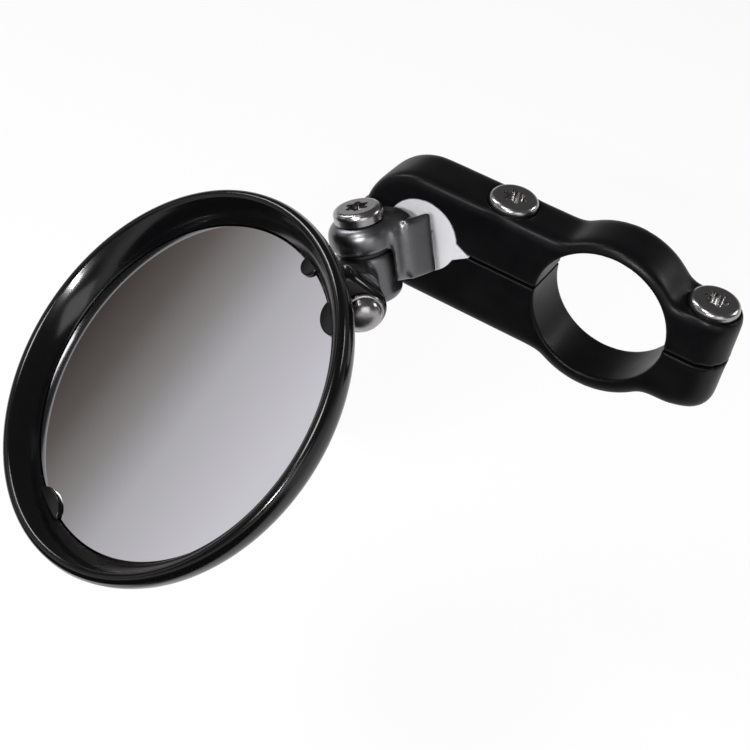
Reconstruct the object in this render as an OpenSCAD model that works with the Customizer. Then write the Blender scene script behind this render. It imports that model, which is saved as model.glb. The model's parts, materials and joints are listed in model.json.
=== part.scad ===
// Bar end mirror: split bar clamp, ball joint, cast arm, swivel link and round mirror head.
// Millimetres. Origin at the middle of the bar bore. Y runs along the bar, away from the mirror side.
// X runs from the bore towards the outer clamp screw. Z runs up along the clamp screws.

/* [Bar clamp] */
// Radius of the bar bore, for a 22.2 mm handlebar
bore_r = 11.1; // [8:0.1:16]
// Width of the clamp along the bar
clamp_w = 10; // [8:0.1:14]
// Slot between the two halves
split_gap = 0.6; // [0.2:0.1:2]
// Wall of the ring on the upper half
wall_up = 1.9; // [1:0.1:5]
// Wall of the ring on the lower half
wall_low = 2.9; // [1:0.1:5]
// Height of the upper half's flat top over the slot
slab_up_h = 9.8; // [8:0.1:14]
// Depth of the lower half's flat bottom under the slot
slab_low_h = 11.5; // [8:0.1:14]
// End radius of the upper half round the ball
end_up_r = 9.8; // [8:0.1:14]
// End radius of the lower half round the ball
end_low_r = 11.5; // [8:0.1:14]
// Height of the screw ear on the upper half
ear_up_h = 8; // [5:0.1:12]
// Depth of the screw ear on the lower half
ear_low_h = 9.6; // [5:0.1:12]
// Edge rounding of the clamp
clamp_round = 0.9; // [0.3:0.1:2]
// Radius of the hollow between ring and flats
web_r = 3.2; // [1:0.1:6]
// Distance of the ball from the bore
ball_x = -31.75; // [-40:0.05:-25]
// Distance of the inner clamp screw from the bore
inner_screw_x = -19.6; // [-24:0.1:-16]
// Distance of the outer clamp screw from the bore
outer_screw_x = 15.2; // [13:0.1:20]

/* [Ball joint] */
// Radius of the nylon socket
socket_r = 6.35; // [5:0.05:8]
// Radius of the ball
ball_r = 4.5; // [3:0.1:6]
// Running clearance between ball and socket
ball_play = 0.05; // [0.02:0.01:0.1]
// Radius of the arm's neck
neck_r = 1.7; // [1.2:0.1:2.5]
// Running clearance round the neck in the socket's mouth
neck_play = 0.2; // [0.1:0.05:0.5]
// Swing of the arm in the mouth, from rest to straight out
swing = 16; // [4:1:20]

/* [Arm and link] */
// Radius of the arm's eye
eye_r = 5.5; // [4:0.1:7]
// Thickness of the arm's eye
eye_h = 4.7; // [3:0.1:7]
// Distance of the arm's root from the ball's centre
root_start = 6.7; // [6.5:0.1:8]
// Half width of the arm's root
root_r = 4.6; // [3:0.1:5.5]
// Height of the arm's root above its neck
root_up = 5.2; // [3:0.1:5.5]
// Depth of the arm's root below its neck
root_low = 5.9; // [3:0.1:7]
// Corner radius of the arm's root
root_round = 2.4; // [0.5:0.1:3]
// Radius of the link's barrel
link_r = 4.9; // [3:0.1:6]
// Depth of the link's barrel
link_h = 8.8; // [6:0.1:12]
// Radius of the link's hinge tang
tang_r = 4.2; // [3:0.1:6]
// Radius of the pivot and clamp screw shanks
screw_r = 2; // [1.5:0.1:3]
// Radius of the pivot and clamp screw heads
head_r = 4; // [3:0.1:6]
// Height of the pivot and clamp screw heads
head_h = 2; // [1:0.1:4]
// Radius of the hinge screw's shank
hinge_r = 1.6; // [1:0.1:3]
// Radius of the hinge screw's domed head
dome_r = 3.3; // [2:0.1:5]

/* [Mirror head] */
// Outer radius of the mirror housing
head_out_r = 32.5; // [25:0.5:50]
// Width of the rim, from the housing's outside to the glass
rim_w = 4.3; // [2.5:0.1:8]
// Depth of the housing behind its rim's middle
head_depth = 7; // [4:0.1:14]
// Thickness of the glass
glass_t = 2; // [1:0.1:4]
// Radius of the housing's hinge lug
lug_r = 4; // [3:0.1:6]

/* [Hidden] */
$fn = 64;
half_w = clamp_w / 2;
half_gap = split_gap / 2;
ring_up_r = bore_r + wall_up;
ring_low_r = bore_r + wall_low;
end_up_x = ball_x - 1.75;
end_low_x = ball_x - 1.45;
ball_p = [ball_x, 0, 0];
gap_h = 0.25;
head_sink = 0.8;
ear_sink = 0.7;
inner_screw_len = slab_up_h - head_sink + slab_low_h - 2.5;
outer_screw_len = ear_up_h - ear_sink + ear_low_h - 1.9;
pivot_screw_len = eye_h + gap_h + link_h - 2.25;
clamp_span = 2 * (outer_screw_x - ball_x + end_low_r + clamp_w);
pivot_p = ball_p + [-5.54, -13.25, -0.53];
pivot_v = [-0.3798, 0.0091, 0.925];
hinge_p = ball_p + [0.54, -24.24, -2.32];
hinge_v = [0.6677, -0.7209, 0.1857];
rim_p = ball_p + [-1.42075, -28.8205, 6.97125];
rim_v = [0.5249, 0.5086, 0.6825];
mirror_p = rim_p - head_out_r * rim_v;
mirror_v = [-0.3487, -0.603, 0.7175];
glass_r = head_out_r - rim_w;
lip_r = rim_w / 2;
stud_v = [-2.51, -8.4, -0.17];
root_len = 6.8;
seat_z = -2.2 - glass_t;
web_lap = 0.04;

function pol(v) = acos(v[2] / norm(v));
function azi(v) = atan2(v[1], v[0]);
function turn_z(v, a) = [cos(a) * v[0] + sin(a) * v[1], cos(a) * v[1] - sin(a) * v[0], v[2]];
function turn_y(v, a) = [cos(a) * v[0] - sin(a) * v[2], v[1], sin(a) * v[0] + cos(a) * v[2]];
function local(v, d) = turn_y(turn_z(d, azi(v)), pol(v));
function roll(v, d) = atan2(local(v, d)[1], local(v, d)[0]);

// Places children with their Z axis along v and their X axis turned towards d
module aim(p, v, d) {
    translate(p)
    rotate([0, pol(v), azi(v)])
    rotate([0, 0, roll(v, d)])
    children();
}

// Places children with their Z axis along v
module along(p, v) {
    translate(p)
    rotate([0, pol(v), azi(v)])
    children();
}

// Revolved disc standing from z0 to z1, its lower edge rounded by f0 and its upper edge by f1
module round_disc(r, z0, z1, f0, f1) {
    rotate_extrude()
    union() {
        translate([0, z0])
        square([r - f0, z1 - z0 - f1]);
        translate([0, z0 + f0])
        square([r, z1 - z0 - f0 - f1]);
        translate([0, z0 + f0])
        square([r - f1, z1 - z0 - f0]);
        translate([r - f0, z0 + f0])
        intersection() {
            circle(f0);
            translate([0, -f0])
            square([f0, 2 * f0]);
        }
        translate([r - f1, z1 - f1])
        intersection() {
            circle(f1);
            translate([0, -f1])
            square([f1, 2 * f1]);
        }
    }
}

// Revolved disc, only the upper edge rounded
module top_round_disc(r, z0, z1, f) {
    rotate_extrude()
    union() {
        translate([0, z0])
        square([r - f, z1 - z0]);
        translate([0, z0])
        square([r, z1 - z0 - f]);
        translate([r - f, z1 - f])
        intersection() {
            circle(f);
            square([f, f]);
        }
    }
}

// Bar running along X with its two upper edges rounded
module top_round_bar(x0, x1, h, f) {
    translate([x0, 0, 0])
    rotate([90, 0, 90])
    linear_extrude(x1 - x0)
    union() {
        translate([-half_w, -1])
        square([clamp_w, h - f + 1]);
        translate([f - half_w, -1])
        square([clamp_w - 2 * f, h + 1]);
        translate([f - half_w, h - f])
        circle(f);
        translate([half_w - f, h - f])
        circle(f);
    }
}

// Tool that hollows the corner between the ring and a flat, flared at both faces
module web_cutter(x, z) {
    translate([x, 0, z])
    rotate([90, 0, 0])
    union() {
        cylinder(h = clamp_w + 2, r = web_r, center = true);
        for (s = [0, 1])
            mirror([0, 0, s])
            translate([0, 0, half_w - clamp_round])
            rotate_extrude()
            difference() {
                square([web_r + clamp_round, clamp_round + 0.5]);
                translate([web_r + clamp_round, 0])
                circle(clamp_round);
            }
    }
}

// Web that joins the ring to a flat of height h, on the side given by s; its hollow dips web_lap into both
module web(r, h, s) {
    dist = r + web_r - web_lap;
    cz = h + web_r - web_lap;
    cx = sqrt(dist * dist - cz * cz);
    part = (r - web_lap / 2) / dist;
    mirror([s, 0, 0])
    difference() {
        rotate([90, 0, 0])
        linear_extrude(clamp_w, center = true)
        polygon([[0, 0], [cx, 0], [cx, h - web_lap / 2], [cx * part, cz * part]]);
        web_cutter(cx, cz);
    }
}

// One half of the clamp lying above the slot plane, before its bores
module half_body(r, h, er, eh, ef, ex) {
    rotate([90, 0, 0])
    round_disc(r, -half_w, half_w, clamp_round, clamp_round);
    translate([ex, 0, 0])
    rotate([90, 0, 0])
    round_disc(er, -half_w, half_w, clamp_round, clamp_round);
    top_round_bar(ex, 0, h, clamp_round);
    top_round_bar(0, outer_screw_x, eh, clamp_round);
    translate([outer_screw_x, 0, 0])
    top_round_disc(half_w, -1, eh, ef);
    web(r, h, 1);
    web(r, eh, 0);
}

// Bar bore with a small chamfer at each face
module bar_bore() {
    rotate([90, 0, 0])
    cylinder(h = 2 * clamp_w, r = bore_r, center = true);
    for (s = [0, 1])
        mirror([0, s, 0])
        translate([0, half_w - 0.35, 0])
        rotate([-90, 0, 0])
        cylinder(h = 1, r1 = bore_r, r2 = bore_r + 1);
}

// Fin of the nylon socket that fills the notch between the halves
module fin(grow) {
    rotate([90, 0, 0])
    linear_extrude(clamp_w - 2 * (1 - grow) * 0.02, center = true)
    polygon([[ball_x + 3, 2.5 + grow * 0.04], [ball_x + 5.7, 1.6 + grow * 0.04],
        [ball_x + 8.8 + grow * 0.06, 0], [ball_x + 5.7, -2.1 - grow * 0.04],
        [ball_x + 3, -2.8 - grow * 0.04]]);
}

// Room for the nylon socket in the clamp
module socket_room() {
    translate(ball_p)
    rotate([90, 0, 0])
    cylinder(h = 2 * clamp_w, r = socket_r + 0.02, center = true);
    fin(1);
}

// Six lobed drive recess
module drive(d) {
    translate([0, 0, -d])
    linear_extrude(d + 1)
    union() {
        circle(1.4);
        for (i = [0:5])
            rotate([0, 0, 60 * i])
            translate([1.45, 0])
            circle(0.48);
    }
}

// Pan head screw, seat at z 0, shank downwards
module pan_screw(len) {
    difference() {
        union() {
            top_round_disc(head_r, 0, head_h, 0.95);
            translate([0, 0, -len])
            cylinder(h = len + 0.1, r = screw_r - 0.03);
        }
        translate([0, 0, head_h])
        drive(1.2);
    }
}

// Everything of the clamp that lies below height z
module below(z) {
    translate([-clamp_span / 2, -clamp_w, z - clamp_span])
    cube([clamp_span, 2 * clamp_w, clamp_span]);
}

module clamp_upper() {
    color([0.03, 0.03, 0.035])
    difference() {
        half_body(ring_up_r, slab_up_h, end_up_r, ear_up_h, clamp_round, end_up_x);
        bar_bore();
        socket_room();
        below(half_gap);
        translate([inner_screw_x, 0, 0])
        cylinder(h = clamp_span, r = screw_r + 0.15);
        translate([inner_screw_x, 0, slab_up_h - head_sink])
        cylinder(h = head_h + ring_up_r, r = head_r + 0.15);
        translate([outer_screw_x, 0, 0])
        cylinder(h = clamp_span, r = screw_r + 0.15);
        translate([outer_screw_x, 0, ear_up_h - ear_sink])
        cylinder(h = head_h + ring_up_r, r = head_r + 0.15);
    }
}

module clamp_lower() {
    color([0.03, 0.03, 0.035])
    difference() {
        mirror([0, 0, 1])
        half_body(ring_low_r, slab_low_h, end_low_r, ear_low_h, 2.2, end_low_x);
        bar_bore();
        socket_room();
        mirror([0, 0, 1])
        below(half_gap);
        translate([inner_screw_x, 0, 0])
        cylinder(h = 2 * clamp_span, r = screw_r, center = true);
        translate([outer_screw_x, 0, 0])
        cylinder(h = 2 * clamp_span, r = screw_r, center = true);
    }
}

// Slot in which the neck swings, w to each side of it and len long
module socket_mouth(w, len) {
    out = atan2(-stud_v[0], -stud_v[1]);
    in = out - swing;
    translate(ball_p)
    linear_extrude(2 * w, center = true)
    polygon([w * [-cos(out), sin(out)], w * [-cos(out), sin(out)] - len * [sin(out), cos(out)],
        w * [cos(in), -sin(in)] - len * [sin(in), cos(in)], w * [cos(in), -sin(in)]]);
}

module ball_socket() {
    color([0.93, 0.93, 0.91])
    difference() {
        union() {
            translate(ball_p)
            rotate([90, 0, 0])
            cylinder(h = clamp_w, r = socket_r, center = true);
            fin(0);
        }
        translate(ball_p)
        sphere(ball_r + ball_play);
        socket_mouth(neck_r + neck_play, 10);
        translate(ball_p)
        rotate([-90, 0, 0])
        cylinder(h = half_w + 1, r = 2.4);
        translate([ball_x - 10, -20, -0.3])
        cube([10, 40, 0.6]);
    }
}

module inner_clamp_screw() {
    color([0.62, 0.61, 0.6])
    translate([inner_screw_x, 0, slab_up_h - head_sink])
    pan_screw(inner_screw_len);
}

module outer_clamp_screw() {
    color([0.62, 0.61, 0.6])
    translate([outer_screw_x, 0, ear_up_h - ear_sink])
    pan_screw(outer_screw_len);
}

module ball() {
    color([0.6, 0.6, 0.6])
    difference() {
        translate(ball_p)
        sphere(ball_r);
        along(ball_p, stud_v)
        translate([0, 0, -2])
        cylinder(h = 10, r = neck_r + 0.03);
    }
}

// Cross section of the arm's root, with X pointing up
module root_section() {
    tall = root_up + root_low;
    translate([root_round - root_low, -root_r])
    square([tall - 2 * root_round, 2 * root_r]);
    translate([-root_low, root_round - root_r])
    square([tall, 2 * (root_r - root_round)]);
    for (x = [root_round - root_low, root_up - root_round])
        for (y = [root_round - root_r, root_r - root_round])
            translate([x, y])
            circle(root_round);
}

// Root of the arm, turned to a cone at the end that faces the clamp
module root() {
    aim(ball_p, stud_v, pivot_v)
    intersection() {
        translate([0, 0, root_start])
        linear_extrude(root_len)
        root_section();
        translate([0, 0, root_start])
        cylinder(h = root_len, r1 = root_r - 0.3, r2 = root_r - 0.3 + root_len);
    }
}

module arm() {
    color([0.55, 0.54, 0.53])
    difference() {
        union() {
            along(pivot_p, pivot_v)
            round_disc(eye_r, gap_h, gap_h + eye_h, 0.8, 2.2);
            difference() {
                root();
                along(pivot_p, pivot_v)
                translate([0, 0, gap_h + eye_h - 0.5])
                cylinder(h = 20, r = 12);
            }
            along(ball_p, stud_v)
            translate([0, 0, -1.95])
            cylinder(h = root_start + 3, r = neck_r);
        }
        along(pivot_p, pivot_v)
        translate([0, 0, gap_h - 20])
        cylinder(h = 20, r = link_r + 0.4);
        along(pivot_p, pivot_v)
        translate([0, 0, -20])
        cylinder(h = 40, r = screw_r + 0.06);
    }
}

module pivot_washer() {
    color([0.1, 0.1, 0.1])
    along(pivot_p, pivot_v)
    difference() {
        translate([0, 0, 0.02 - gap_h])
        cylinder(h = 2 * gap_h - 0.04, r = 4.4);
        cylinder(h = 4, r = screw_r + 0.1, center = true);
    }
}

module pivot_screw() {
    color([0.62, 0.61, 0.6])
    along(pivot_p, pivot_v)
    translate([0, 0, gap_h + eye_h + 0.03])
    pan_screw(pivot_screw_len);
}

module swivel_link() {
    color([0.55, 0.54, 0.53])
    difference() {
        union() {
            along(pivot_p, pivot_v)
            mirror([0, 0, 1])
            top_round_disc(link_r, gap_h, link_h, 1.5);
            along(hinge_p, hinge_v)
            translate([0, 0, -10])
            cylinder(h = 7.4, r = tang_r);
        }
        along(pivot_p, pivot_v)
        translate([0, 0, -gap_h])
        cylinder(h = 20, r = 9);
        along(pivot_p, pivot_v)
        translate([0, 0, -20])
        cylinder(h = 40, r = screw_r);
        along(hinge_p, hinge_v)
        translate([0, 0, -8])
        cylinder(h = 40, r = hinge_r);
        along(hinge_p, hinge_v)
        translate([0, 0, -2.6])
        cylinder(h = 20, r = lug_r + 0.35);
    }
}

module hinge_washer() {
    color([0.1, 0.1, 0.1])
    along(hinge_p, hinge_v)
    difference() {
        translate([0, 0, -2.58])
        cylinder(h = 0.46, r = 3.4);
        cylinder(h = 12, r = hinge_r + 0.1, center = true);
    }
}

module hinge_screw() {
    color([0.7, 0.69, 0.68])
    along(hinge_p, hinge_v)
    union() {
        translate([0, 0, 2.63])
        top_round_disc(dome_r, 0, 2.2, 1.6);
        translate([0, 0, -7])
        cylinder(h = 9.8, r = hinge_r - 0.03);
    }
}

// Room behind the mirror glass, standing on the seat
module glass_room() {
    translate([0, 0, seat_z])
    cylinder(h = 20, r = glass_r + 0.1);
    translate([0, 0, seat_z - 0.8])
    cylinder(h = 5, r = glass_r - 2);
}

// One round tab over the glass at angle a
module tab(a) {
    rotate([0, 0, a])
    translate([glass_r + 0.2, 0, -2.15])
    cylinder(h = 1.5, r = 1.7);
}

module mirror_housing() {
    color([0.02, 0.02, 0.025])
    difference() {
        union() {
            along(mirror_p, mirror_v)
            difference() {
                union() {
                    mirror([0, 0, 1])
                    top_round_disc(head_out_r, -1.2, head_depth, 3);
                    rotate_extrude()
                    translate([head_out_r - lip_r, 1.2])
                    circle(lip_r);
                }
                glass_room();
            }
            along(mirror_p, mirror_v)
            for (a = [-1.4, 156, 178.4])
                tab(a);
            along(hinge_p, hinge_v)
            translate([0, 0, -2.1])
            cylinder(h = 4.7, r = lug_r);
            aim(hinge_p, hinge_v, mirror_v)
            translate([0, -lug_r, -2.1])
            cube([5.5, 2 * lug_r, 4.7]);
        }
        along(mirror_p, mirror_v)
        translate([0, 0, seat_z - 0.8])
        cylinder(h = -seat_z - 1.35, r = glass_r - 2);
        along(hinge_p, hinge_v)
        translate([0, 0, -20])
        cylinder(h = 40, r = hinge_r + 0.06);
        along(hinge_p, hinge_v)
        translate([0, 0, 2.6])
        cylinder(h = 9, r = lug_r + 0.6);
    }
}

module glass_pad() {
    color([0.08, 0.08, 0.08])
    along(mirror_p, mirror_v)
    translate([0, 0, seat_z - 0.8])
    cylinder(h = 0.8, r = glass_r - 2.1);
}

module mirror_glass() {
    color([0.6, 0.58, 0.6])
    along(mirror_p, mirror_v)
    translate([0, 0, seat_z])
    cylinder(h = glass_t, r = glass_r);
}

clamp_upper();
clamp_lower();
ball_socket();
inner_clamp_screw();
outer_clamp_screw();
ball();
arm();
pivot_washer();
pivot_screw();
swivel_link();
hinge_washer();
hinge_screw();
mirror_housing();
glass_pad();
mirror_glass();
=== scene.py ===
import bmesh
import bpy
import json
import math
from mathutils import Matrix, Vector


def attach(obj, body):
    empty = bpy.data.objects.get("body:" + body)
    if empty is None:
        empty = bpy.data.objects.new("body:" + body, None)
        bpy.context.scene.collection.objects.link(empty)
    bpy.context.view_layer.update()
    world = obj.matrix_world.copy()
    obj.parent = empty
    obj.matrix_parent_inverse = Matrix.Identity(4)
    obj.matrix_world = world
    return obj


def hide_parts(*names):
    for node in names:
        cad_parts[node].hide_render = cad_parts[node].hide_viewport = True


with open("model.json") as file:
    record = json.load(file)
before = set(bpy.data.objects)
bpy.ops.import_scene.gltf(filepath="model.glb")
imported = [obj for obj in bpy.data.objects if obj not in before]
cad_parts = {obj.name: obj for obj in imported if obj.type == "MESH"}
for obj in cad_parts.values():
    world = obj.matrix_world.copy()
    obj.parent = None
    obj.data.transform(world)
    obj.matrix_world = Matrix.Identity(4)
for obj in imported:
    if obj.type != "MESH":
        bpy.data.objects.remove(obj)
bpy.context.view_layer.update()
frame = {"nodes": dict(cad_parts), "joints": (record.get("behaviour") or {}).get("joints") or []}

# Bar end mirror: a round head on a hinged cast arm, whose ball is held in a split handlebar clamp.
MM = 0.001
nodes = frame["nodes"]
joints = {joint["name"]: joint for joint in frame["joints"]}


def joint_place(name):
    """Where a joint stands at rest, in millimetres."""
    return Vector(joints[name]["pos_m"]) / MM


def joint_axis(name):
    """The direction that a joint turns about."""
    return Vector(joints[name]["axis"]).normalized()


# Places and directions of the mechanism at rest, in millimetres.
UP = Vector((0, 0, 1))
BALL, STUD_AXIS = joint_place("ball_swing"), joint_axis("stem_roll")
PIVOT, PIVOT_AXIS = joint_place("arm_pivot"), joint_axis("arm_pivot")
HINGE, HINGE_AXIS = joint_place("mirror_hinge"), joint_axis("mirror_hinge")
# The middle of the mirror's rim and the way its glass faces, as in the part's source.
MIRROR, MIRROR_AXIS = Vector((-50.23, -45.35, -15.21)), Vector((-0.3487, -0.603, 0.7175)).normalized()
# The clamp: its bore, the socket's radius, and where its two screws stand along X.
BORE_R, SOCKET_R, INNER_SCREW_X, OUTER_SCREW_X = 11.1, 6.35, -19.6, 15.2

# A Mix node's colour sockets, by number, because its other modes share their names.
FIRST, SECOND, MIXED = 6, 7, 2


def linear(code):
    """An sRGB hex colour as linear red, green, blue and alpha."""
    out = []
    for i in (0, 2, 4):
        c = int(code[i:i + 2], 16) / 255
        out.append(c / 12.92 if c <= 0.04045 else ((c + 0.055) / 1.055) ** 2.4)
    return (*out, 1.0)


def per(size):
    """The scale of a pattern whose features are about this many millimetres wide."""
    return 1 / (size * MM)


def add(tree, kind, settings=None, values=None, links=None):
    """Adds one node, with its settings, its constants and the sockets that feed it."""
    node = tree.nodes.new(kind)
    for key, value in (settings or {}).items():
        setattr(node, key, value)
    for key, value in (values or {}).items():
        node.inputs[key].default_value = value
    for key, source in (links or {}).items():
        tree.links.new(source, node.inputs[key])
    return node


def new_material(name):
    """An empty node material, its tree, and Object coordinates in metres."""
    mat = bpy.data.materials.new(name)
    mat.use_nodes = True
    tree = mat.node_tree
    tree.nodes.clear()
    coords = add(tree, "ShaderNodeTexCoord").outputs["Object"]
    return mat, tree, coords


def finish_material(mat, tree, shader):
    """Connects the shader to the material's output."""
    add(tree, "ShaderNodeOutputMaterial", links={"Surface": shader})
    return mat


def black_anodised():
    # Black hard anodised aluminium, machined and bead blasted: a fine even grain and a soft broad sheen.
    # The blasted grain is finer than the render can show, so it is drawn 0.19 mm wide.
    mat, tree, co = new_material("black_anodised_aluminium")
    grain = add(tree, "ShaderNodeTexNoise",
                values={"Scale": per(0.1923), "Detail": 3.0, "Roughness": 0.6}, links={"Vector": co})
    cloud = add(tree, "ShaderNodeTexNoise",
                values={"Scale": per(5.5556), "Detail": 4.0, "Roughness": 0.55}, links={"Vector": co})
    colour = add(tree, "ShaderNodeMix", {"data_type": "RGBA"},
                 {FIRST: linear("040405"), SECOND: linear("09090B")}, {0: cloud.outputs["Fac"]})
    rough = add(tree, "ShaderNodeMapRange",
                values={"From Min": 0.3, "From Max": 0.7, "To Min": 0.3, "To Max": 0.42},
                links={"Value": cloud.outputs["Fac"]})
    bump = add(tree, "ShaderNodeBump",
               values={"Strength": 0.12, "Distance": 0.06 * MM}, links={"Height": grain.outputs["Fac"]})
    bsdf = add(tree, "ShaderNodeBsdfPrincipled",
               values={"IOR": 1.45, "Specular IOR Level": 0.16},
               links={"Base Color": colour.outputs[MIXED], "Roughness": rough.outputs["Result"],
                      "Normal": bump.outputs["Normal"]})
    return finish_material(mat, tree, bsdf.outputs["BSDF"])


def gloss_abs():
    # Black ABS from a polished mould: clear reflections, with the mould's slight orange peel.
    mat, tree, co = new_material("gloss_black_abs")
    peel = add(tree, "ShaderNodeTexNoise",
               values={"Scale": per(2.381), "Detail": 2.0, "Roughness": 0.5}, links={"Vector": co})
    dust = add(tree, "ShaderNodeTexNoise",
               values={"Scale": per(11.111), "Detail": 5.0, "Roughness": 0.6}, links={"Vector": co})
    rough = add(tree, "ShaderNodeMapRange",
                values={"From Min": 0.35, "From Max": 0.75, "To Min": 0.13, "To Max": 0.21},
                links={"Value": dust.outputs["Fac"]})
    bump = add(tree, "ShaderNodeBump",
               values={"Strength": 0.04, "Distance": 0.1 * MM}, links={"Height": peel.outputs["Fac"]})
    bsdf = add(tree, "ShaderNodeBsdfPrincipled",
               values={"Base Color": linear("060607"), "IOR": 1.5, "Specular IOR Level": 0.36},
               links={"Roughness": rough.outputs["Result"], "Normal": bump.outputs["Normal"]})
    return finish_material(mat, tree, bsdf.outputs["BSDF"])


def white_nylon():
    # Natural white nylon, moulded: milky, with light going a little way in and a waxy sheen.
    mat, tree, co = new_material("white_nylon")
    cloud = add(tree, "ShaderNodeTexNoise",
                values={"Scale": per(3.8462), "Detail": 3.0, "Roughness": 0.5}, links={"Vector": co})
    colour = add(tree, "ShaderNodeMix", {"data_type": "RGBA"},
                 {FIRST: linear("B8B7BC"), SECOND: linear("C8C7CB")}, {0: cloud.outputs["Fac"]})
    bump = add(tree, "ShaderNodeBump",
               values={"Strength": 0.05, "Distance": 0.08 * MM}, links={"Height": cloud.outputs["Fac"]})
    bsdf = add(tree, "ShaderNodeBsdfPrincipled",
               values={"Roughness": 0.42, "IOR": 1.53, "Subsurface Weight": 0.35,
                       "Subsurface Scale": 1.0 * MM, "Subsurface Radius": (1.0, 0.95, 0.85)},
               links={"Base Color": colour.outputs[MIXED], "Normal": bump.outputs["Normal"]})
    return finish_material(mat, tree, bsdf.outputs["BSDF"])


def cast_stainless():
    # Investment cast stainless steel, tumbled: satin, with a pebbled skin and a softly varying sheen.
    mat, tree, co = new_material("cast_stainless_steel")
    skin = add(tree, "ShaderNodeTexNoise",
               values={"Scale": per(1.1111), "Detail": 4.0, "Roughness": 0.6}, links={"Vector": co})
    cloud = add(tree, "ShaderNodeTexNoise",
                values={"Scale": per(4.3478), "Detail": 3.0, "Roughness": 0.5}, links={"Vector": co})
    colour = add(tree, "ShaderNodeMix", {"data_type": "RGBA"},
                 {FIRST: linear("5B5A5C"), SECOND: linear("7C7B7D")}, {0: cloud.outputs["Fac"]})
    rough = add(tree, "ShaderNodeMapRange",
                values={"From Min": 0.3, "From Max": 0.7, "To Min": 0.26, "To Max": 0.42},
                links={"Value": cloud.outputs["Fac"]})
    bump = add(tree, "ShaderNodeBump",
               values={"Strength": 0.25, "Distance": 0.06 * MM}, links={"Height": skin.outputs["Fac"]})
    bsdf = add(tree, "ShaderNodeBsdfPrincipled",
               values={"Metallic": 1.0},
               links={"Base Color": colour.outputs[MIXED], "Roughness": rough.outputs["Result"],
                      "Normal": bump.outputs["Normal"]})
    return finish_material(mat, tree, bsdf.outputs["BSDF"])


def turned_steel(name, centre, axis):
    # Stainless screw steel, cold headed and turned: bright, with fine rings about the screw's axis.
    # The turning marks are finer than the render can show, so they are drawn 0.16 mm apart.
    mat, tree, co = new_material(name)
    away = add(tree, "ShaderNodeVectorMath", {"operation": "SUBTRACT"}, {1: centre * MM}, {0: co})
    along = add(tree, "ShaderNodeVectorMath", {"operation": "DOT_PRODUCT"},
                {1: axis}, {0: away.outputs["Vector"]})
    on_axis = add(tree, "ShaderNodeVectorMath", {"operation": "SCALE"},
                  {0: axis}, {"Scale": along.outputs["Value"]})
    side = add(tree, "ShaderNodeVectorMath", {"operation": "SUBTRACT"},
               links={0: away.outputs["Vector"], 1: on_axis.outputs["Vector"]})
    radius = add(tree, "ShaderNodeVectorMath", {"operation": "LENGTH"}, links={0: side.outputs["Vector"]})
    rings = add(tree, "ShaderNodeMath", {"operation": "MULTIPLY"},
                {1: 2 * math.pi * per(0.16)}, {0: radius.outputs["Value"]})
    wave = add(tree, "ShaderNodeMath", {"operation": "SINE"}, links={0: rings.outputs["Value"]})
    spots = add(tree, "ShaderNodeTexNoise",
                values={"Scale": per(1.6667), "Detail": 4.0, "Roughness": 0.6}, links={"Vector": co})
    height = add(tree, "ShaderNodeMath", {"operation": "MULTIPLY_ADD"},
                 {1: 0.25}, {0: wave.outputs["Value"], 2: spots.outputs["Fac"]})
    colour = add(tree, "ShaderNodeMix", {"data_type": "RGBA"},
                 {FIRST: linear("8C8A8A"), SECOND: linear("ABA9A9")}, {0: spots.outputs["Fac"]})
    bump = add(tree, "ShaderNodeBump",
               values={"Strength": 0.15, "Distance": 0.04 * MM}, links={"Height": height.outputs["Value"]})
    bsdf = add(tree, "ShaderNodeBsdfPrincipled",
               values={"Metallic": 1.0, "Roughness": 0.24},
               links={"Base Color": colour.outputs[MIXED], "Normal": bump.outputs["Normal"]})
    return finish_material(mat, tree, bsdf.outputs["BSDF"])


def black_washer():
    # Black acetal washer, stamped: matt and slightly waxy.
    mat, tree, co = new_material("black_acetal_washer")
    grain = add(tree, "ShaderNodeTexNoise",
                values={"Scale": per(0.6667), "Detail": 2.0}, links={"Vector": co})
    colour = add(tree, "ShaderNodeMix", {"data_type": "RGBA"},
                 {FIRST: linear("0A0A0A"), SECOND: linear("151515")}, {0: grain.outputs["Fac"]})
    bsdf = add(tree, "ShaderNodeBsdfPrincipled",
               values={"Roughness": 0.55}, links={"Base Color": colour.outputs[MIXED]})
    return finish_material(mat, tree, bsdf.outputs["BSDF"])


def pad_foam():
    # Closed cell foam tape that carries the glass: matt dark grey, with open cells at its cut edge.
    mat, tree, co = new_material("closed_cell_foam_tape")
    cells = add(tree, "ShaderNodeTexVoronoi", values={"Scale": per(0.4)}, links={"Vector": co})
    colour = add(tree, "ShaderNodeMix", {"data_type": "RGBA"},
                 {FIRST: linear("121212"), SECOND: linear("262626")}, {0: cells.outputs["Distance"]})
    bump = add(tree, "ShaderNodeBump",
               values={"Strength": 0.4, "Distance": 0.2 * MM}, links={"Height": cells.outputs["Distance"]})
    bsdf = add(tree, "ShaderNodeBsdfPrincipled",
               values={"Roughness": 0.9},
               links={"Base Color": colour.outputs[MIXED], "Normal": bump.outputs["Normal"]})
    return finish_material(mat, tree, bsdf.outputs["BSDF"])


def silvered_glass():
    # Silvered mirror glass, polished: a clean reflection, with a trace of haze where it has been wiped.
    mat, tree, co = new_material("silvered_mirror_glass")
    haze = add(tree, "ShaderNodeTexNoise",
               values={"Scale": per(14.2857), "Detail": 5.0, "Roughness": 0.6}, links={"Vector": co})
    rough = add(tree, "ShaderNodeMapRange",
                values={"From Min": 0.3, "From Max": 0.8, "To Min": 0.015, "To Max": 0.06},
                links={"Value": haze.outputs["Fac"]})
    bsdf = add(tree, "ShaderNodeBsdfPrincipled",
               values={"Base Color": linear("DEDCDF"), "Metallic": 1.0},
               links={"Roughness": rough.outputs["Result"]})
    return finish_material(mat, tree, bsdf.outputs["BSDF"])


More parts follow.
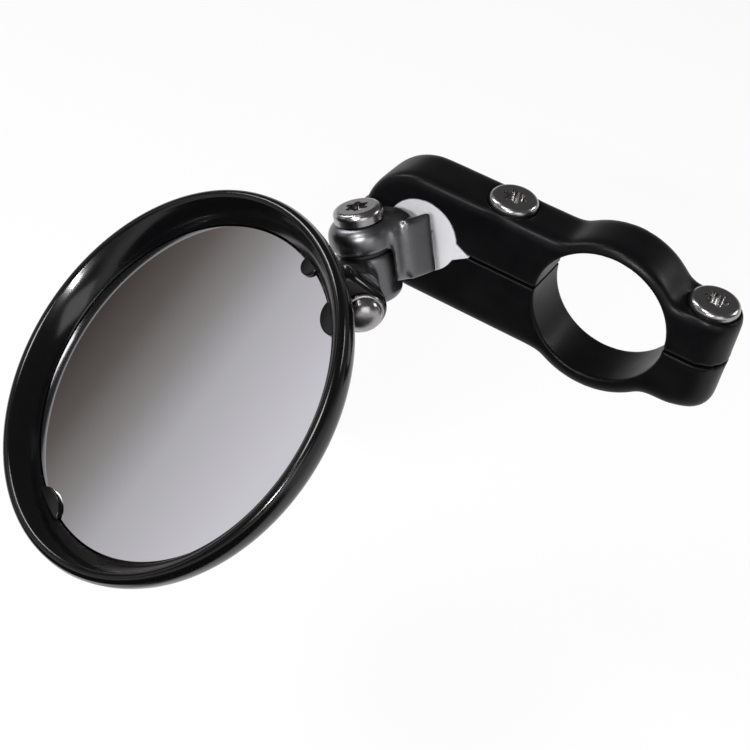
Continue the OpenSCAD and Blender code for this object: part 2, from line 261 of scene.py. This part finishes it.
anodised, abs_gloss, cast, washer = black_anodised(), gloss_abs(), cast_stainless(), black_washer()
hinge_steel, silver = turned_steel("hinge_screw_steel", HINGE, HINGE_AXIS), silvered_glass()
dress = {
    "clamp_upper": anodised,
    "clamp_lower": anodised,
    "ball_socket": white_nylon(),
    "inner_clamp_screw": turned_steel("inner_screw_steel", Vector((INNER_SCREW_X, 0, 0)), UP),
    "outer_clamp_screw": turned_steel("outer_screw_steel", Vector((OUTER_SCREW_X, 0, 0)), UP),
    "ball": turned_steel("ball_steel", BALL, UP),
    "arm": cast,
    "swivel_link": cast,
    "pivot_washer": washer,
    "hinge_washer": washer,
    "pivot_screw": turned_steel("pivot_screw_steel", PIVOT, PIVOT_AXIS),
    "hinge_screw": hinge_steel,
    "mirror_housing": abs_gloss,
    "glass_pad": pad_foam(),
    "mirror_glass": silver,
}
for name, mat in dress.items():
    nodes[name].data.materials.clear()
    nodes[name].data.materials.append(mat)


def arc(centre, radius, start, end, steps):
    """Points on an arc of an outline, in millimetres, with its angles in degrees."""
    angles = [math.radians(start + (end - start) * i / steps) for i in range(steps + 1)]
    return [(centre[0] + radius * math.cos(a), centre[1] + radius * math.sin(a)) for a in angles]


def bow(a, b, c, steps):
    """Points on a curve from a to c that is pulled towards b."""
    points = []
    for i in range(steps + 1):
        t = i / steps
        points.append(tuple((1 - t) ** 2 * p + 2 * t * (1 - t) * q + t * t * r for p, q, r in zip(a, b, c)))
    return points


def lathe_tree():
    """Geometry Nodes tree that carries an outline round a circle, its origin on the circle."""
    tree = bpy.data.node_groups.new("lathe", "GeometryNodeTree")
    inputs = {"Outline": "NodeSocketObject", "Radius": "NodeSocketFloat",
              "Segments": "NodeSocketInt", "Material": "NodeSocketMaterial"}
    for name, kind in inputs.items():
        tree.interface.new_socket(name, in_out="INPUT", socket_type=kind)
    tree.interface.new_socket("Geometry", in_out="OUTPUT", socket_type="NodeSocketGeometry")
    given = tree.nodes.new("NodeGroupInput").outputs
    outline = add(tree, "GeometryNodeObjectInfo", links={"Object": given["Outline"]})
    path = add(tree, "GeometryNodeCurvePrimitiveCircle",
               links={"Resolution": given["Segments"], "Radius": given["Radius"]})
    skin = add(tree, "GeometryNodeCurveToMesh",
               links={"Curve": path.outputs["Curve"], "Profile Curve": outline.outputs["Geometry"]})
    weld = add(tree, "GeometryNodeMergeByDistance",
               values={"Distance": 0.002 * MM}, links={"Geometry": skin.outputs["Mesh"]})
    real = add(tree, "GeometryNodeRealizeInstances", links={"Geometry": weld.outputs["Geometry"]})
    dressed = add(tree, "GeometryNodeSetMaterial",
                  links={"Geometry": real.outputs["Geometry"], "Material": given["Material"]})
    add(tree, "NodeGroupOutput", links={"Geometry": dressed.outputs["Geometry"]})
    return tree


LATHE = lathe_tree()


def into_scene(name, data):
    """A new object in the scene."""
    obj = bpy.data.objects.new(name, data)
    bpy.context.scene.collection.objects.link(obj)
    return obj


def evaluated(carrier):
    """A plain mesh of an object after its modifiers, which takes the object away."""
    carrier.update_tag()
    mesh = bpy.data.meshes.new_from_object(carrier.evaluated_get(bpy.context.evaluated_depsgraph_get()))
    bpy.data.objects.remove(carrier)
    return mesh


def lathe(name, outline, radius, segments, mat):
    """A plain mesh turned from an outline of radius and height in millimetres, closed at the axis."""
    curve = bpy.data.curves.new(name + "_outline", "CURVE")
    curve.dimensions = "3D"
    spline = curve.splines.new("POLY")
    spline.points.add(len(outline) - 1)
    for point, (r, z) in zip(spline.points, outline):
        point.co = ((r - radius) * MM, -z * MM, 0, 1)
    guide = into_scene(name + "_outline", curve)
    carrier = into_scene(name, bpy.data.meshes.new(name))
    modifier = carrier.modifiers.new("lathe", "NODES")
    modifier.node_group = LATHE
    sockets = {item.name: item.identifier for item in LATHE.interface.items_tree}
    given = {"Outline": guide, "Radius": radius * MM, "Segments": segments, "Material": mat}
    for key, value in given.items():
        modifier[sockets[key]] = value
    mesh = evaluated(carrier)
    bpy.data.objects.remove(guide)
    return mesh


def frame_at(place, z_axis, x_axis=None):
    """The frame at a place in millimetres with its Z axis one way and its X axis towards another."""
    if x_axis is None:
        heading, tilt = math.atan2(z_axis.y, z_axis.x), math.acos(z_axis.z)
        turn = Matrix.Rotation(heading, 4, "Z") @ Matrix.Rotation(tilt, 4, "Y")
    else:
        x = (x_axis - x_axis.dot(z_axis) * z_axis).normalized()
        turn = Matrix((x, z_axis.cross(x), z_axis)).transposed().to_4x4()
    return Matrix.Translation(place * MM) @ turn


HEAD_FRAME = frame_at(MIRROR, MIRROR_AXIS)


def add_mesh(bm, mesh, place):
    """Adds a mesh to a bmesh, put in its place."""
    mesh.transform(place)
    bm.from_mesh(mesh)
    bpy.data.meshes.remove(mesh)


def to_mesh(bm, name):
    """The mesh of a bmesh, which is then freed."""
    mesh = bpy.data.meshes.new(name)
    bm.to_mesh(mesh)
    bm.free()
    return mesh


def only_material(mesh, mat):
    """Gives every face of a mesh the one material."""
    mesh.materials.clear()
    mesh.materials.append(mat)
    for face in mesh.polygons:
        face.material_index = 0


def stand_in(name, mesh, body, node):
    """The finished piece that moves with a body and stands for a node of the frame."""
    obj = into_scene(name, mesh)
    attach(obj, body)
    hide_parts(node)


# The housing's section in millimetres, as radius and height over the middle of its rim.
HEAD_R, GLASS_R, GLASS_TOP = 32.45, 28.2, -2.2
LIP_R, LIP_DEPTH = GLASS_R - 0.15, 0.03
ROOM_R, SEAT_R = GLASS_R - 2, GLASS_R + 0.1
FLOOR_Z, SEAT_Z, BACK_Z = -5.0, -4.2, -7.0
CREST, CREST_ROUND = (31.3, 1.3), 1.0
FACE_PULL = (28.9, 0.4)
SIDE_TOP, SIDE_PULL, SHOULDER = 0.9, -1.6, (31.1, -2.75)
BACK_PULL, BACK_FLAT_R = (27.2, BACK_Z + 0.2), 21.5
# The glass's ground bevel: its depth at the edge, and the width of it that shows inside the lip.
BEVEL_DEPTH, BEVEL_SHOWN = 0.5, 0.3
# The tabs over the glass: height, rounding, reach over the glass and outer end, and each angle and radius.
TAB_H, TAB_EDGE, TAB_OVER, TAB_OUT = 0.6, 0.3, 1.9, 31.0
TABS = ((-1.4, 3.7), (156, 3.1), (178.4, 1.7))
# The hinge lug: its eye, its lower and upper faces along the hinge, and its root in the housing's back.
LUG_R, LUG_LOW, LUG_TOP, LUG_ROOT, LUG_ROOT_R, LUG_EDGE = 4.0, -2.1, 2.6, 4.4, 3.2, 1.1


def housing_section():
    """Half of the section: pad room, glass seat, dished face, round crest, and a shell that draws in."""
    lip = GLASS_TOP + LIP_DEPTH
    room = [(0, FLOOR_Z), (ROOM_R, FLOOR_Z), (ROOM_R, SEAT_Z)]
    seat = [(SEAT_R, SEAT_Z), (SEAT_R, lip - 0.01), (LIP_R, lip)]
    crest = arc(CREST, CREST_ROUND, 145, 0, 10)
    face = bow((LIP_R, GLASS_TOP + 0.15), FACE_PULL, crest[0], 14)
    side = bow((HEAD_R, SIDE_TOP), (HEAD_R, SIDE_PULL), SHOULDER, 8)
    shell = bow(SHOULDER, BACK_PULL, (BACK_FLAT_R, BACK_Z), 12)
    return room + seat + face + crest[1:] + side + shell[1:] + [(0, BACK_Z)]


def tab_mesh(angle, r, mat):
    """One tab over the glass, as a low round button whose outer end is kept inside the rim."""
    edge = arc((r - TAB_EDGE, TAB_H - TAB_EDGE), TAB_EDGE, 0, 90, 6)
    tab = lathe("tab", [(0, 0), (r, 0)] + edge + [(0, TAB_H)], r, 64, mat)
    reach = min(r, (TAB_OUT - LIP_R + TAB_OVER) / 2)
    turn = Matrix.Rotation(math.radians(angle), 4, "Z")
    place = Matrix.Translation(Vector((LIP_R - TAB_OVER + reach, 0, GLASS_TOP + LIP_DEPTH)) * MM)
    tab.transform(turn @ place @ Matrix.Diagonal((reach / r, 1, 1, 1)))
    return tab


def lug_mesh():
    """The hinge lug: a round eye whose straight sides run into the housing's back, its edges rounded."""
    bm = bmesh.new()
    outline = arc((0, 0), LUG_R, 260, 100, 32) + arc((LUG_ROOT, 0), LUG_ROOT_R, 80, -80, 24)
    low = bm.faces.new([bm.verts.new((x * MM, y * MM, LUG_LOW * MM)) for x, y in outline])
    grown = bmesh.ops.extrude_face_region(bm, geom=[low])["geom"]
    top = [v for v in grown if isinstance(v, bmesh.types.BMVert)]
    bmesh.ops.translate(bm, verts=top, vec=(0, 0, (LUG_TOP - LUG_LOW) * MM))
    rims = [e for e in bm.edges if abs(e.verts[0].co.z - e.verts[1].co.z) < 1e-7]
    bmesh.ops.bevel(bm, geom=rims, offset=LUG_EDGE * MM, segments=5, profile=0.5, affect="EDGES")
    bmesh.ops.recalc_face_normals(bm, faces=bm.faces)
    return to_mesh(bm, "lug")


def housing(mat):
    """The moulded housing: turned shell, three tabs over the glass and the hinge lug, as one mesh."""
    bm = bmesh.new()
    add_mesh(bm, lathe("shell", housing_section(), HEAD_R, 256, mat), HEAD_FRAME)
    for angle, r in TABS:
        add_mesh(bm, tab_mesh(angle, r, mat), HEAD_FRAME)
    add_mesh(bm, lug_mesh(), frame_at(HINGE, HINGE_AXIS, MIRROR_AXIS))
    bmesh.ops.recalc_face_normals(bm, faces=bm.faces)
    mesh = to_mesh(bm, "mirror_housing_shell")
    only_material(mesh, mat)
    mesh.shade_smooth()
    mesh.set_sharp_from_angle(angle=math.radians(40))
    stand_in("mirror_housing_shell", mesh, "head", "mirror_housing")


def bevelled_glass(mat):
    """The round mirror glass with the narrow ground bevel at its edge."""
    bevel = [(GLASS_R, GLASS_TOP - BEVEL_DEPTH), (LIP_R - BEVEL_SHOWN, GLASS_TOP)]
    outline = [(0, SEAT_Z), (GLASS_R, SEAT_Z), *bevel, (0, GLASS_TOP)]
    mesh = lathe("bevelled_glass", outline, GLASS_R, 256, mat)
    mesh.transform(HEAD_FRAME)
    mesh.set_sharp_from_angle(angle=math.radians(10))
    stand_in("bevelled_glass", mesh, "head", "mirror_glass")


# The hinge screw's head in millimetres: dome radius and height, flange radius and rounding, and its seat.
DOME_R, DOME_H, FLANGE_R, FLANGE_ROUND, HEAD_SEAT = 2.85, 2.3, 3.0, 0.28, LUG_TOP + 0.03
SHANK_R, SHANK_LEN = 1.5, 9.4


def dome_screw(mat):
    """The hinge screw: a plain domed head with a thin flange, on its shank."""
    dome = bow((0.0, DOME_H), (DOME_R - 0.1, DOME_H), (DOME_R, 0.6), 14)
    flange = arc((FLANGE_R, 0.3), FLANGE_ROUND, 80, -80, 6)
    shank = [(SHANK_R, 0.02), (SHANK_R, -SHANK_LEN), (0, -SHANK_LEN)]
    mesh = lathe("hinge_screw_domed", dome + flange + shank, FLANGE_R, 96, mat)
    mesh.transform(frame_at(HINGE + HEAD_SEAT * HINGE_AXIS, HINGE_AXIS))
    mesh.shade_smooth()
    mesh.set_sharp_from_angle(angle=math.radians(50))
    stand_in("hinge_screw_domed", mesh, "link", "hinge_screw")


def block(low, high, place):
    """A plain box between two corners in millimetres, put in a frame, for a casting's rough form."""
    bm = bmesh.new()
    bmesh.ops.create_cube(bm, size=1.0)
    low, high = Vector(low), Vector(high)
    bmesh.ops.scale(bm, verts=bm.verts, vec=(high - low) * MM)
    bmesh.ops.translate(bm, verts=bm.verts, vec=(high + low) / 2 * MM)
    bmesh.ops.transform(bm, matrix=place, verts=bm.verts)
    return to_mesh(bm, "block")


def softened(node, name, body, mat, voxel, rounds, extras=(), share=None):
    """A piece with the soft edges and fillets of a casting: the node's solid and its extra blocks are merged,
    then smoothed. share gives how much of the smoothing a point in millimetres takes, from 0 to 1."""
    bm = bmesh.new()
    bm.from_mesh(nodes[node].data)
    for mesh in extras:
        add_mesh(bm, mesh, Matrix.Identity(4))
    rough = into_scene(name + "_rough", to_mesh(bm, name + "_rough"))
    remesh = rough.modifiers.new("merge", "REMESH")
    remesh.mode = "VOXEL"
    remesh.voxel_size = voxel * MM
    whole = into_scene(name + "_whole", evaluated(rough))
    smooth = whole.modifiers.new("soften", "SMOOTH")
    smooth.factor = 0.5
    smooth.iterations = rounds
    if share:
        group = whole.vertex_groups.new(name="soft")
        for vertex in whole.data.vertices:
            group.add([vertex.index], share(vertex.co / MM), "REPLACE")
        smooth.vertex_group = "soft"
    mesh = evaluated(whole)
    only_material(mesh, mat)
    mesh.shade_smooth()
    stand_in(name, mesh, body, node)


# How far the clamp's crisp places reach, in millimetres: round a screw's seat and its tapped hole, from the
# split and past a bore. Then the nylon fin's half height and length, and the width of the fade.
SEAT_REACH, TAPPED_REACH, SPLIT_REACH, BORE_REACH = 4.35, 2.3, 0.7, 0.3
FIN_REACH, FIN_LEN, FADE = 3.2, 9.5, 0.9


def clamp_share(point):
    """The clamp's outer edges are well rounded; its bore, split, screw seats and socket stay crisp."""
    x, y, z = point
    bore = math.hypot(x, z) - BORE_R - BORE_REACH
    socket = math.hypot(x - BALL.x, z) - SOCKET_R - BORE_REACH
    hole = SEAT_REACH if z > 0 else TAPPED_REACH
    screws = [math.hypot(x - place, y) - hole for place in (INNER_SCREW_X, OUTER_SCREW_X)]
    near = [abs(z) - SPLIT_REACH, bore, socket, *screws]
    if BALL.x < x < BALL.x + FIN_LEN:
        near.append(abs(z) - FIN_REACH)
    return min(max(min(near) / FADE, 0.0), 1.0)


housing(abs_gloss)
# The arm's root swells a little towards the bore in the casting, where it hides the end of the neck's slot.
swell_frame = frame_at(BALL, STUD_AXIS, PIVOT_AXIS) @ Matrix.Rotation(math.radians(-10), 4, "X")
swell = block((-5.3, -7.05, 5.0), (4.9, -5.9, 10.2), swell_frame)
softened("arm", "arm_casting", "arm", cast, 0.15, 220, [swell])
softened("swivel_link", "link_casting", "link", cast, 0.15, 110)
for half in ("clamp_upper", "clamp_lower"):
    softened(half, half + "_body", "clamp", anodised, 0.3, 130, share=clamp_share)
dome_screw(hinge_steel)
bevelled_glass(silver)


def plane(name, centre, facing, width, height, mat, along=(1, 0, 0), seen_by_camera=True):
    """A flat rectangle of the studio that faces one way, with its own X axis turned towards another."""
    z = Vector(facing).normalized()
    x = (Vector(along) - Vector(along).dot(z) * z).normalized()
    place = Matrix((x, z.cross(x), z)).transposed().to_4x4()
    place.translation = Vector(centre)
    mesh = bpy.data.meshes.new(name)
    w, h = width / 2, height / 2
    mesh.from_pydata([(-w, -h, 0), (w, -h, 0), (w, h, 0), (-w, h, 0)], [], [(0, 1, 2, 3)])
    mesh.materials.append(mat)
    obj = into_scene(name, mesh)
    obj.matrix_world = place
    obj.visible_camera = seen_by_camera
    obj.visible_diffuse = seen_by_camera
    obj.visible_shadow = seen_by_camera


def background_share(tree):
    """1 where the camera, or a reflection or a clear piece, looks at the background."""
    path = add(tree, "ShaderNodeLightPath")
    clear = add(tree, "ShaderNodeMath", {"operation": "MAXIMUM"},
                links={0: path.outputs["Is Camera Ray"], 1: path.outputs["Is Transmission Ray"]})
    share = add(tree, "ShaderNodeMath", {"operation": "MAXIMUM"},
                links={0: clear.outputs["Value"], 1: path.outputs["Is Glossy Ray"]})
    return share.outputs["Value"]


def studio_paper():
    """Pale studio paper that is nearly white to the camera and in reflections, and still takes a shadow."""
    mat, tree, _ = new_material("floor_paper")
    paper = add(tree, "ShaderNodeBsdfDiffuse", values={"Color": linear("E8E8E8")})
    glow = add(tree, "ShaderNodeEmission", values={"Color": linear("FFFFFF"), "Strength": 1.0})
    part = add(tree, "ShaderNodeMath", {"operation": "MULTIPLY"}, {1: 0.85}, {0: background_share(tree)})
    mix = add(tree, "ShaderNodeMixShader",
              links={0: part.outputs["Value"], 1: paper.outputs["BSDF"], 2: glow.outputs["Emission"]})
    return finish_material(mat, tree, mix.outputs["Shader"])


def black_flag():
    """Black card that keeps the white floor out of the reflections on the front faces."""
    mat, tree, _ = new_material("black_flag")
    cloth = add(tree, "ShaderNodeBsdfDiffuse", values={"Color": linear("1A1A1A")})
    return finish_material(mat, tree, cloth.outputs["BSDF"])


def painted_reflection_card(width):
    """Glowing card that stands for the room the mirror glass faces, its ramp a painted reflection for the
    glass: dim and warm at one side, pale at the other.
    """
    mat, tree, co = new_material("painted_reflection_card")
    axes = add(tree, "ShaderNodeSeparateXYZ", links={0: co})
    part = add(tree, "ShaderNodeMapRange",
               values={"From Min": -width / 2, "From Max": width / 2}, links={"Value": axes.outputs["X"]})
    ramp = add(tree, "ShaderNodeValToRGB", links={"Fac": part.outputs["Result"]})
    # Painted reflection: these stops are the tones the mirror glass shows, from dim and warm to pale.
    stops = ((0.0, "2A2624"), (0.25, "5A5551"), (0.45, "868583"), (0.62, "ACACAF"), (1.0, "C8C8CC"))
    for place, _ in stops[1:-1]:
        ramp.color_ramp.elements.new(place)
    for element, (place, shade) in zip(ramp.color_ramp.elements, stops):
        element.position = place
        element.color = linear(shade)
    glow = add(tree, "ShaderNodeEmission", values={"Strength": 1.35}, links={"Color": ramp.outputs["Color"]})
    return finish_material(mat, tree, glow.outputs["Emission"])


# The photograph's camera, solved from the clamp: its place in millimetres, its axes in the part's frame,
# and its focal length as a share of the picture's width.
CAMERA = Vector((41.824, -174.768, 128.668)) * MM
RIGHT = Vector((0.84197, 0.51938, 0.14604))
DOWN = Vector((0.44017, -0.50475, -0.74262))
AHEAD = Vector((-0.31198, 0.68955, -0.6536))
FOCAL_PX, PHOTO_PX, SENSOR_MM = 1388.0, 750, 36

# The studio, in metres: a white floor under the object, and a black flag on it, in front.
FLOOR_AT = -0.16
plane("floor", (0, 0, FLOOR_AT), (0, 0, 1), 8, 8, studio_paper())
plane("front_flag", (-0.1, -0.55, FLOOR_AT + 0.005), (0, 0, 1), 1.4, 0.9, black_flag(),
      seen_by_camera=False)

# The glowing card of painted reflection stands where the mirror glass looks, with its ramp across the
# picture's falling diagonal.
CARD_AWAY, CARD_SIZE, RAMP_WIDTH = 0.5, 0.34, 0.13
view_out = (MIRROR * MM - CAMERA).normalized().reflect(MIRROR_AXIS)
ramp_way = (0.8 * RIGHT + 0.6 * DOWN).reflect(MIRROR_AXIS)
plane("room", MIRROR * MM + CARD_AWAY * view_out, -view_out, CARD_SIZE, CARD_SIZE, painted_reflection_card(RAMP_WIDTH),
      along=ramp_way, seen_by_camera=False)


def studio_world():
    """White for the camera and clear pieces, grey light, and in reflections a ceiling that dims upwards."""
    world = bpy.data.worlds.new("studio")
    world.use_nodes = True
    tree = world.node_tree
    tree.nodes.clear()
    coords = add(tree, "ShaderNodeTexCoord")
    look = add(tree, "ShaderNodeSeparateXYZ", links={0: coords.outputs["Generated"]})
    ceiling = add(tree, "ShaderNodeMapRange",
                  values={"From Min": 0.0, "From Max": 0.25, "To Min": 1.0, "To Max": 0.1},
                  links={"Value": look.outputs["Z"]})
    path = add(tree, "ShaderNodeLightPath")
    clear = add(tree, "ShaderNodeMath", {"operation": "MAXIMUM"},
                links={0: path.outputs["Is Camera Ray"], 1: path.outputs["Is Transmission Ray"]})
    glossy = add(tree, "ShaderNodeMix", {"data_type": "FLOAT"},
                 {2: 0.38}, {0: path.outputs["Is Glossy Ray"], 3: ceiling.outputs["Result"]})
    strength = add(tree, "ShaderNodeMix", {"data_type": "FLOAT"},
                   {3: 1.0}, {0: clear.outputs["Value"], 2: glossy.outputs[0]})
    back = add(tree, "ShaderNodeBackground",
               values={"Color": linear("FFFFFF")}, links={"Strength": strength.outputs[0]})
    add(tree, "ShaderNodeOutputWorld", links={"Surface": back.outputs["Background"]})
    return world


scene = bpy.context.scene
scene.world = studio_world()

# The lamps in metres and watts, all turned towards the arm.
TARGET = Vector((-30, -20, -2)) * MM


def area(name, place, size, length, watts):
    """A soft lamp, size by length, that faces the object."""
    lamp = bpy.data.lights.new(name, "AREA")
    lamp.shape = "RECTANGLE"
    lamp.size = size
    lamp.size_y = length
    lamp.energy = watts
    obj = into_scene(name, lamp)
    obj.location = place
    obj.rotation_euler = (TARGET - Vector(place)).to_track_quat("-Z", "Y").to_euler()


area("strip", (-0.5, 0.0, 0.42), 0.08, 0.4, 1.6)
area("key", (-0.2, -0.45, 0.65), 0.22, 0.22, 3.0)
area("fill", (0.6, -0.5, 0.3), 0.4, 0.4, 1.2)
area("rim", (0.5, 0.5, 0.4), 0.3, 0.12, 1.2)
# A narrow one, whose reflection is the bright streak on the rim's inner face.
area("streak", (0.075, -0.52, 0.3), 0.12, 0.012, 2.6)

cam_data = bpy.data.cameras.new("camera")
cam_data.sensor_width = SENSOR_MM
cam_data.lens = FOCAL_PX / PHOTO_PX * SENSOR_MM
cam_data.clip_start = 0.01
cam = into_scene("camera", cam_data)
cam.matrix_world = Matrix.Translation(CAMERA) @ Matrix((RIGHT, -DOWN, -AHEAD)).transposed().to_4x4()
scene.camera = cam

scene.view_settings.view_transform = "Standard"
